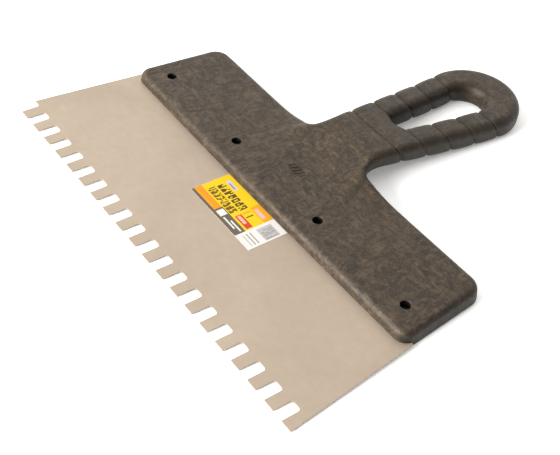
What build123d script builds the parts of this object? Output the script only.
"""Notched adhesive trowel: a toothed steel blade riveted into a moulded T handle with a finger loop.

Working frame: X along the teeth, Y from the tooth tips to the loop's end, Z up from the blade's top face.
At export everything moves so that the origin is the centre of the bounding box's bottom face.
"""
import os
from copy import copy
from math import hypot, radians, tan

from build123d import *

# Blade, mm
TOOTH_PITCH = 12.5
TOOTH_COUNT = 20
NOTCH_WIDTH = 6.0
NOTCH_DEPTH = 10.2
NOTCH_ROUND = 1.5
BLADE_THICKNESS = 0.7
BLADE_TAPER = 0.108            # each side edge leans in by this much per mm away from the teeth
TANG_FRONT = 74.0              # where the hidden, narrower part of the blade begins
TANG_BACK = 97.0
TANG_HALF_WIDTH = 108.0
TANG_ROUND = 4.0

# Moulded handle: cross plate, mm
PLATE_FRONT = 67.5             # on the centre line, at the underside
PLATE_BACK = 122.8
PLATE_SWEEP = 1.0              # the plate's ends sweep back by this much in a shallow arc
PLATE_FRONT_HALF_WIDTH = 117.0     # at the underside, before the corners are rounded
PLATE_BACK_HALF_WIDTH = 112.0
PLATE_DRAFT = 9.0              # degrees that the sides lean in towards the top
PLATE_FRONT_ROUND = 7.5
PLATE_BACK_ROUND = 9.0
PLATE_TOP = 5.7
PLATE_BOTTOM = -2.4
PLATE_TOP_ROUND = 3.0
PLATE_BOTTOM_ROUND = 0.8

# Moulded handle: neck and finger loop, mm
# Sections across the neck: distance behind the tooth tips, half width, top, underside, corner rounding
NECK_SECTIONS = [
    (100.0, 33.0, 5.0, -1.2, 2.2),
    (105.0, 32.0, 5.9, -1.2, 2.4),
    (110.0, 30.4, 7.0, -0.9, 2.8),
    (115.0, 28.0, 8.4, -0.2, 3.2),
    (120.0, 24.4, 10.1, 1.1, 3.8),
    (125.0, 20.4, 11.9, 2.4, 4.4),
    (130.0, 19.5, 13.1, 3.0, 4.6),
    (136.0, 20.0, 13.6, 3.1, 4.8),
    (142.0, 20.4, 13.4, 2.8, 5.0),
    (146.7, 20.8, 13.2, 2.4, 5.2),
]
LOOP_HALF_WIDTH = 21.0         # at the loop's start
LOOP_FLARE = 0.094             # each side widens by this much per mm towards the loop's end
LOOP_START = 145.0             # the neck's last section ends just inside the loop, under the first groove
LOOP_END = 247.2
LOOP_TOP = [(LOOP_START, 13.5), (172.0, 11.2), (205.0, 8.4), (LOOP_END, 8.0)]
LOOP_UNDERSIDE = [(LOOP_START, 2.2), (172.0, -1.4), (205.0, -4.6), (LOOP_END, -4.8)]
LOOP_ROUND = 5.3               # rounding of the loop's long edges
EYE_NEAR_Y = 167.6
EYE_NEAR_RADIUS = 6.1
EYE_FAR_Y = 215.6
EYE_FAR_RADIUS = 10.4

# V grooves around the neck and the two arms of the loop, mm
GROOVE_FIRST_Y = LOOP_START + 0.2
GROOVE_SPACING = 16.6
GROOVE_COUNT = 5
GROOVE_DEPTH = 0.7
GROOVE_LEAN = 24.0             # degrees that each groove tilts, its foot towards the loop's end

# Raised plain oval on the plate, mm
BADGE_Y = 94.7
BADGE_LENGTH = 16.0
BADGE_WIDTH = 7.0
BADGE_HEIGHT = 0.4

# Rivets in their wells, mm
RIVET_X = [-100.4, -35.2, 35.2, 100.4]
RIVET_MIDDLE_Y = 81.7          # where the swept row of rivets crosses the centre line
WELL_RADIUS = 2.65
WELL_FLOOR = 1.3
SHANK_RADIUS = 1.5
RIVET_HEAD_RADIUS = 3.0
RIVET_HEAD_HEIGHT = 0.8
WASHER_RADIUS = 2.5
WASHER_THICKNESS = 0.5
CLENCH_RADIUS = 2.1
CLENCH_HEIGHT = 0.9

# Paper label on the blade, mm
LABEL_LEFT = -20.4
LABEL_RIGHT = 30.4
LABEL_FRONT = 44.4
LABEL_BACK = 67.5
LABEL_THICKNESS = 0.12


def blade_half_width(y):
    """Half of the blade's width at a distance y behind the tooth tips."""
    return TOOTH_COUNT * TOOTH_PITCH / 2 - BLADE_TAPER * y


def swept(y, x):
    """Where a line across the plate that crosses the centre at y stands at x, with the plate's sweep."""
    return y + PLATE_SWEEP * (x / PLATE_FRONT_HALF_WIDTH) ** 2


def rivet_place(x, z=0.0):
    """The axis of the rivet at x, at a height z."""
    return Pos(x, swept(RIVET_MIDDLE_Y, x), z)


def make_blade():
    """One flat sheet: tapered, notched along the front edge, with a hidden tang drilled for the rivets."""
    front = blade_half_width(0)
    shoulder = blade_half_width(TANG_FRONT)
    corners = [(-front, 0), (front, 0), (shoulder, TANG_FRONT), (-shoulder, TANG_FRONT)]
    outline = make_face(Polyline(*corners, close=True))
    tang_middle = (TANG_FRONT - TANG_ROUND + TANG_BACK) / 2
    tang_depth = TANG_BACK - TANG_FRONT + TANG_ROUND
    outline += Pos(0, tang_middle) * RectangleRounded(2 * TANG_HALF_WIDTH, tang_depth, TANG_ROUND)
    for index in range(TOOTH_COUNT):
        notch_end = -front + index * TOOTH_PITCH + NOTCH_WIDTH
        # The first notch is open on its outer side, so its cutter runs past the blade's side edge.
        cut_width = 2 * NOTCH_WIDTH if index == 0 else NOTCH_WIDTH
        notch = RectangleRounded(cut_width, 2 * NOTCH_DEPTH, NOTCH_ROUND)
        outline -= Pos(notch_end - cut_width / 2, 0) * notch
    for x in RIVET_X:
        outline -= rivet_place(x) * Circle(SHANK_RADIUS)
    return extrude(outline, -BLADE_THICKNESS)


def make_plate():
    """The cross plate of the T: a slab with rounded corners and a rounded top rim."""
    front_corner = (PLATE_FRONT_HALF_WIDTH, swept(PLATE_FRONT, PLATE_FRONT_HALF_WIDTH))
    back_corner = (PLATE_BACK_HALF_WIDTH, swept(PLATE_BACK, PLATE_BACK_HALF_WIDTH))
    front_left = (-front_corner[0], front_corner[1])
    back_left = (-back_corner[0], back_corner[1])
    outline = make_face([
        ThreePointArc(front_left, (0, PLATE_FRONT), front_corner),
        Line(front_corner, back_corner),
        ThreePointArc(back_corner, (0, PLATE_BACK), back_left),
        Line(back_left, front_left),
    ])
    ordered = outline.vertices().sort_by(Axis.Y)
    outline = fillet(ordered[:2], PLATE_FRONT_ROUND)
    ordered = outline.vertices().sort_by(Axis.Y)
    outline = fillet(ordered[-2:], PLATE_BACK_ROUND)
    slab = extrude(Pos(0, 0, PLATE_BOTTOM) * outline, PLATE_TOP - PLATE_BOTTOM, taper=PLATE_DRAFT)
    slab = fillet(slab.edges().group_by(Axis.Z)[-1], PLATE_TOP_ROUND)
    return fillet(slab.edges().group_by(Axis.Z)[0], PLATE_BOTTOM_ROUND)


def make_neck():
    """The neck: rises out of the plate, narrows, and meets the loop's start."""
    sections = []
    for y, half_width, top, underside, rounding in NECK_SECTIONS:
        section = RectangleRounded(2 * half_width, top - underside, rounding)
        sections.append(Plane.XZ.offset(-y) * Pos(0, (top + underside) / 2) * section)
    return loft(sections)


def loop_outline():
    """Plan of the loop's outer side, symmetric about X = 0."""
    lean = hypot(1, LOOP_FLARE)
    # The end is a circle about the centre line that touches both flared sides and reaches LOOP_END.
    radius = (LOOP_HALF_WIDTH + LOOP_FLARE * (LOOP_END - LOOP_START)) / (lean + LOOP_FLARE)
    touch_x = radius / lean
    touch_y = LOOP_END - radius - radius * LOOP_FLARE / lean
    start = Line((-LOOP_HALF_WIDTH, LOOP_START), (LOOP_HALF_WIDTH, LOOP_START))
    right = Line((LOOP_HALF_WIDTH, LOOP_START), (touch_x, touch_y))
    end = ThreePointArc((touch_x, touch_y), (0, LOOP_END), (-touch_x, touch_y))
    left = Line((-touch_x, touch_y), (-LOOP_HALF_WIDTH, LOOP_START))
    return make_face([start, right, end, left])


def make_loop():
    """The finger loop: its plan cut to its side profile, with all long edges rounded."""
    near = Pos(0, EYE_NEAR_Y) * Circle(EYE_NEAR_RADIUS)
    far = Pos(0, EYE_FAR_Y) * Circle(EYE_FAR_RADIUS)
    plan = loop_outline() - make_hull(near.edges() + far.edges())
    tall = extrude(Pos(0, 0, -20) * plan, 50)
    top = Spline(*[(0, y, z) for y, z in LOOP_TOP])
    underside = Spline(*[(0, y, z) for y, z in LOOP_UNDERSIDE])
    profile = make_face([top, underside, Line(top @ 0, underside @ 0), Line(top @ 1, underside @ 1)])
    loop = tall & extrude(profile, 60, both=True)
    long_edges = []
    for edge in loop.edges():
        upright = abs((edge % 0.5).Z) > 0.9
        at_start = abs(edge.center().Y - LOOP_START) < 0.01
        if not upright and not at_start:
            long_edges.append(edge)
    return fillet(long_edges, LOOP_ROUND)


def level_at(points, y):
    """Height of a side profile at y, read straight between its listed points."""
    for (y0, z0), (y1, z1) in zip(points, points[1:]):
        if y0 <= y <= y1:
            return z0 + (z1 - z0) * (y - y0) / (y1 - y0)
    raise ValueError(f"y = {y} lies outside the profile")


def groove_cutters(y):
    """Square bars turned on edge that nick the top at y, and the underside and sides on the same lean."""
    reach = GROOVE_DEPTH * 2
    bar = reach * 2**0.5       # a square bar on edge reaches this side length over the root of two each way
    proud = reach - GROOVE_DEPTH
    top = level_at(LOOP_TOP, y)
    drop = tan(radians(GROOVE_LEAN)) * (top - level_at(LOOP_UNDERSIDE, y))
    underside = level_at(LOOP_UNDERSIDE, y + drop)
    middle_y = y + drop / 2
    middle_z = (top + underside) / 2
    half_width = LOOP_HALF_WIDTH + LOOP_FLARE * (middle_y - LOOP_START) + proud
    across = Rot(45, 0, 0) * Box(100, bar, bar)
    upright = Rot(GROOVE_LEAN, 0, 0) * Rot(0, 0, 45) * Box(bar, bar, 60)
    return [
        Pos(0, y, top + proud) * across,
        Pos(0, y + drop, underside - proud) * across,
        Pos(-half_width, middle_y, middle_z) * upright,
        Pos(half_width, middle_y, middle_z) * upright,
    ]


def make_handle():
    """The whole moulding: plate, neck and loop in one, slotted for the blade and bored for the rivets."""
    handle = make_plate() + make_neck() + make_loop()
    for index in range(GROOVE_COUNT):
        handle -= groove_cutters(GROOVE_FIRST_Y + index * GROOVE_SPACING)
    oval = SlotOverall(BADGE_LENGTH, BADGE_WIDTH)
    handle += extrude(Pos(0, BADGE_Y, PLATE_TOP - 1) * oval, BADGE_HEIGHT + 1)
    for x in RIVET_X:
        well = rivet_place(x, WELL_FLOOR) * extrude(Circle(WELL_RADIUS), 20)
        shank = rivet_place(x, PLATE_BOTTOM - 1) * extrude(Circle(SHANK_RADIUS), 20)
        head_seat = rivet_place(x, PLATE_BOTTOM) * extrude(Circle(RIVET_HEAD_RADIUS), RIVET_HEAD_HEIGHT)
        handle -= well + shank + head_seat
    return handle - make_blade()


def make_rivet(x):
    """A rivet set from below: flat head, shank through moulding and blade, and a clenched end in the well."""
    clench_bottom = WELL_FLOOR + WASHER_THICKNESS
    head = rivet_place(x, PLATE_BOTTOM) * extrude(Circle(RIVET_HEAD_RADIUS), RIVET_HEAD_HEIGHT)
    shank_length = clench_bottom - PLATE_BOTTOM + 0.1
    shank = rivet_place(x, PLATE_BOTTOM) * extrude(Circle(SHANK_RADIUS), shank_length)
    clench = rivet_place(x, clench_bottom) * extrude(Circle(CLENCH_RADIUS), CLENCH_HEIGHT)
    clench = fillet(clench.edges().group_by(Axis.Z)[-1], CLENCH_HEIGHT * 0.7)
    return head + shank + clench


def make_washer(x):
    """The flat washer that the rivet's clenched end presses on."""
    ring = Circle(WASHER_RADIUS) - Circle(SHANK_RADIUS)
    return rivet_place(x, WELL_FLOOR) * extrude(ring, WASHER_THICKNESS)


def make_label():
    """The paper label stuck on the blade, up against the handle."""
    middle = ((LABEL_LEFT + LABEL_RIGHT) / 2, (LABEL_FRONT + LABEL_BACK) / 2)
    sheet = Rectangle(LABEL_RIGHT - LABEL_LEFT, LABEL_BACK - LABEL_FRONT)
    return Pos(*middle) * extrude(sheet, LABEL_THICKNESS)


def main():
    os.makedirs("parts", exist_ok=True)
    parts = {"blade": make_blade(), "handle": make_handle(), "label": make_label()}
    for number, x in enumerate(RIVET_X, start=1):
        parts[f"rivet_{number}"] = make_rivet(x)
        parts[f"washer_{number}"] = make_washer(x)
    whole = Compound(children=[copy(part) for part in parts.values()]).bounding_box()
    place = Pos(-whole.center().X, -whole.center().Y, -whole.min.Z)
    print("moved by", place.position)
    for name, part in parts.items():
        export_step(place * part, f"parts/{name}.step")


if __name__ == "__main__":
    main()
